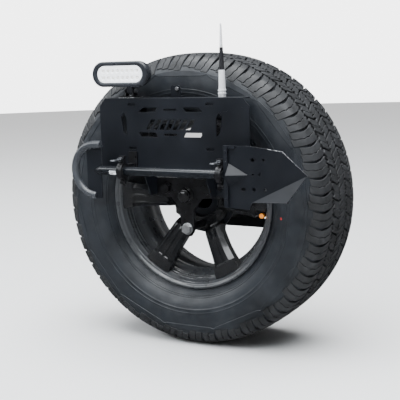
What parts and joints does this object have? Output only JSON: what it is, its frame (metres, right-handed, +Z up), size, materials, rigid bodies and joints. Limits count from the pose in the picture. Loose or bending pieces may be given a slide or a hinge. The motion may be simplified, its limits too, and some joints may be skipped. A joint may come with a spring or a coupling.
{
  "type": "spare tire carrier",
  "caption": "Tailgate spare tire carrier with its wheel, slotted accessory panel, tilting work light, antenna and a shovel in hinged clamps.",
  "frame": {"origin": "centre of the tailgate plate's rear face, on the wheel's axis", "axes": "+Y out of the plate's rear face towards the vehicle, +Z up, +X to the right seen from behind the vehicle; the wheel's outer face looks along -Y"},
  "size_m": [0.776, 0.4599, 0.843],
  "materials": {
    "powder_black": "satin black powder coat",
    "rim_black": "gloss black paint",
    "nut_black": "gloss black",
    "zinc_steel": "zinc plated",
    "black_steel": "black oxide",
    "lamp_casting": "black powder coat",
    "tyre_rubber": "matte",
    "liner_rubber": "matte",
    "lens_white": "clear ribbed",
    "led_board": "white solder mask",
    "antenna_white": "satin",
    "antenna_black": "satin",
    "amber_plastic": "satin"
  },
  "bodies": {
    "carrier": {"tailgate_plate": "powder_black", "carrier_post": "powder_black", "wheel_flange": "powder_black", "panel_arm_left": "powder_black", "panel_arm_right": "powder_black", "accessory_panel": "powder_black", "accessory_tab": "powder_black", "rim_barrel": "rim_black", "rim_spider": "rim_black", "lug_nut_1": "nut_black", "lug_nut_2": "nut_black", "lug_nut_3": "nut_black", "centre_dome_bolt": "nut_black", "standoff_bolt_3": "zinc_steel", "tab_bolt": "zinc_steel", "light_base_washer": "zinc_steel", "light_base_bolt": "zinc_steel", "antenna_nut": "zinc_steel", "standoff_1": "black_steel", "standoff_2": "black_steel", "standoff_3": "black_steel", "standoff_bolt_1": "black_steel", "standoff_bolt_2": "black_steel", "arm_bolt_left": "black_steel", "arm_bolt_right": "black_steel", "panel_stud_1": "black_steel", "panel_stud_2": "black_steel", "panel_stud_3": "black_steel", "panel_stud_4": "black_steel", "mount_plate": "black_steel", "clamp_saddle_left": "black_steel", "clamp_saddle_right": "black_steel", "tyre": "tyre_rubber", "valve_stem": "liner_rubber", "clamp_liner_rear_left": "liner_rubber", "clamp_liner_rear_right": "liner_rubber", "antenna_base": "antenna_white", "antenna_tip": "antenna_white", "antenna_sleeve": "antenna_black", "valve_cap": "amber_plastic"},
    "light_foot": {"light_foot": "black_steel", "light_pivot_bolt": "zinc_steel"},
    "work_light": {"light_housing": "lamp_casting", "light_bezel": "lamp_casting", "light_lens": "lens_white", "light_led_board": "led_board"},
    "jaw_left": {"clamp_jaw_left": "black_steel", "clamp_liner_front_left": "liner_rubber"},
    "jaw_right": {"clamp_jaw_right": "black_steel", "clamp_liner_front_right": "liner_rubber"},
    "knob_left": {"clamp_knob_left": "zinc_steel"},
    "knob_right": {"clamp_knob_right": "zinc_steel"},
    "shovel": {"shovel_shaft": "powder_black", "shovel_handle_plate": "powder_black", "shovel_handle_loop": "powder_black", "shovel_root_bar": "powder_black", "shovel_socket": "powder_black", "shovel_blade": "powder_black"}
  },
  "joints": [
    {"name": "light_pan", "type": "hinge", "parent": "carrier", "child": "light_foot", "pos_m": [-0.128, -0.333, 0.28], "axis": [0, 0, 1], "range_deg": [-10, 10]},
    {"name": "light_tilt", "type": "hinge", "parent": "light_foot", "child": "work_light", "pos_m": [-0.128, -0.333, 0.294], "axis": [1, 0, 0], "range_deg": [-10, 35]},
    {"name": "clamp_left_open", "type": "hinge", "parent": "carrier", "child": "jaw_left", "pos_m": [-0.113, -0.41, 0.066], "axis": [1, 0, 0], "range_deg": [0, 100]},
    {"name": "clamp_right_open", "type": "hinge", "parent": "carrier", "child": "jaw_right", "pos_m": [0.167, -0.41, 0.066], "axis": [1, 0, 0], "range_deg": [0, 100]},
    {"name": "clamp_left_knob_turn", "type": "hinge", "parent": "jaw_left", "child": "knob_left", "pos_m": [-0.113, -0.415, 0.125], "axis": [0, -1, 0], "continuous": true},
    {"name": "clamp_right_knob_turn", "type": "hinge", "parent": "jaw_right", "child": "knob_right", "pos_m": [0.167, -0.415, 0.125], "axis": [0, -1, 0], "continuous": true},
    {"name": "shovel_turn", "type": "hinge", "parent": "carrier", "child": "shovel", "pos_m": [0, -0.41, 0.095], "axis": [1, 0, 0], "range_deg": [-20, 20]}
  ]
}
